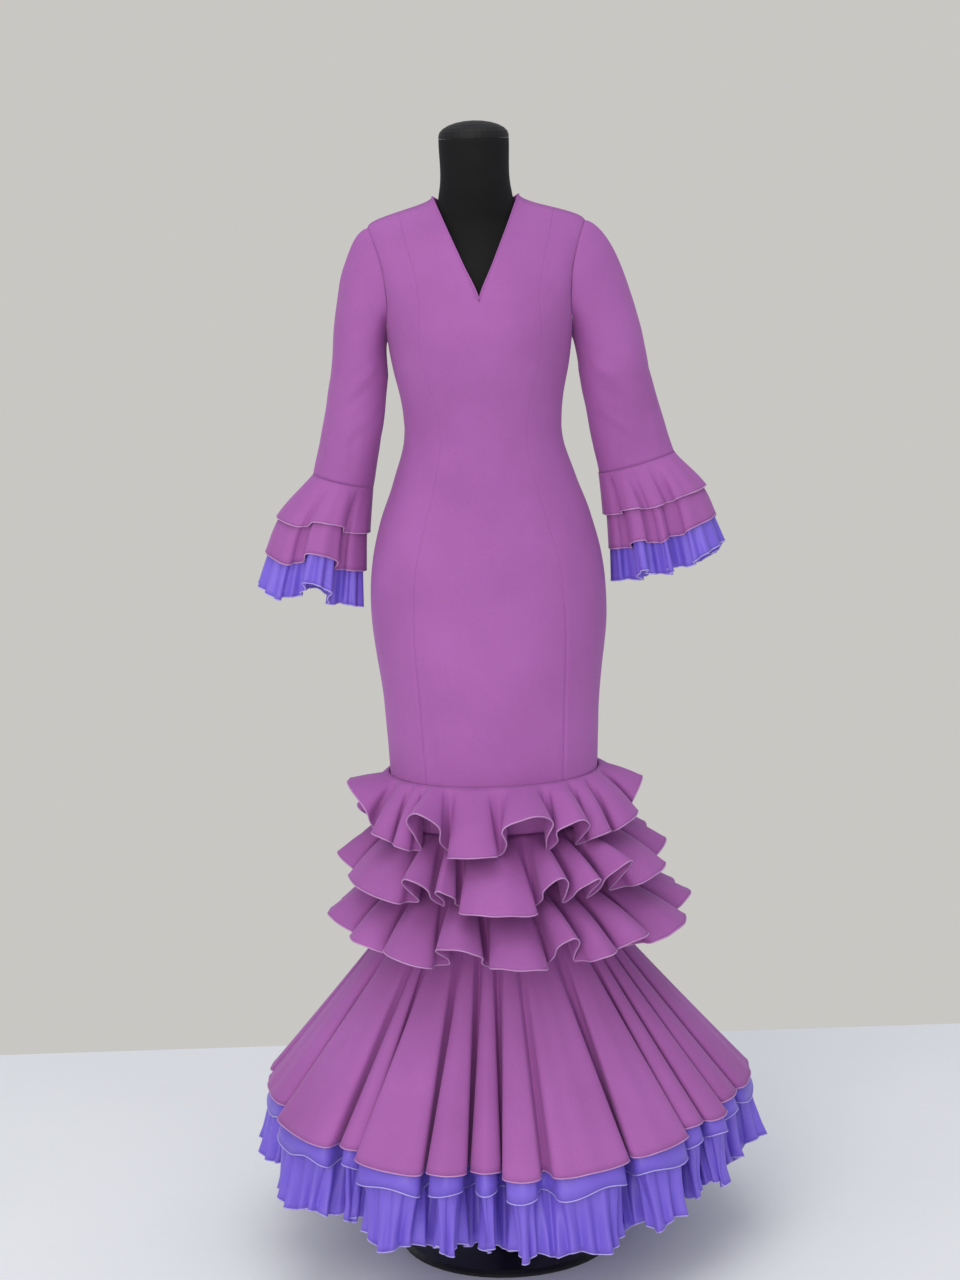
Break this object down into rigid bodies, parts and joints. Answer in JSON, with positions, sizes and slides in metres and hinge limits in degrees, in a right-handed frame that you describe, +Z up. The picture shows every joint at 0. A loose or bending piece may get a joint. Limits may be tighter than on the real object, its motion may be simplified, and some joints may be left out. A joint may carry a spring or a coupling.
{
  "type": "flamenco dress on a dress form",
  "caption": "Fitted flamenco dress with long ruffled sleeves, knee flounces, a godet flounce and a violet underskirt, standing on a plain limbless dress form.",
  "frame": {"origin": "middle of the base plate's underside, on the floor", "axes": "+Z up along the pole, the dress's front faces -Y; left and right in the names are as seen from the front, so left is -X"},
  "size_m": [0.7915, 0.7443, 1.7413],
  "materials": {
    "crepe": "matte mauve crepe",
    "taffeta": "violet taffeta with a soft sheen",
    "jersey": "black knitted cover",
    "cap": "black knitted cover over the neck's cap",
    "stand": "black enamel"
  },
  "bodies": {
    "root": {"form_torso": "jersey", "form_neck_cap": "cap", "form_pole": "stand", "form_base": "stand", "body_front_centre": "crepe", "body_front_side_left": "crepe", "body_front_side_right": "crepe", "body_back_left": "crepe", "body_back_right": "crepe", "sleeve_left": "crepe", "sleeve_right": "crepe", "sleeve_ruffle_upper_left": "crepe", "sleeve_ruffle_upper_right": "crepe", "sleeve_ruffle_lower_left": "crepe", "sleeve_ruffle_lower_right": "crepe", "sleeve_frill_left": "taffeta", "sleeve_frill_right": "taffeta", "flounce_top": "crepe", "flounce_middle": "crepe", "flounce_low": "crepe", "skirt_flounce": "crepe", "underskirt": "taffeta", "underskirt_frill": "taffeta"}
  },
  "joints": []
}
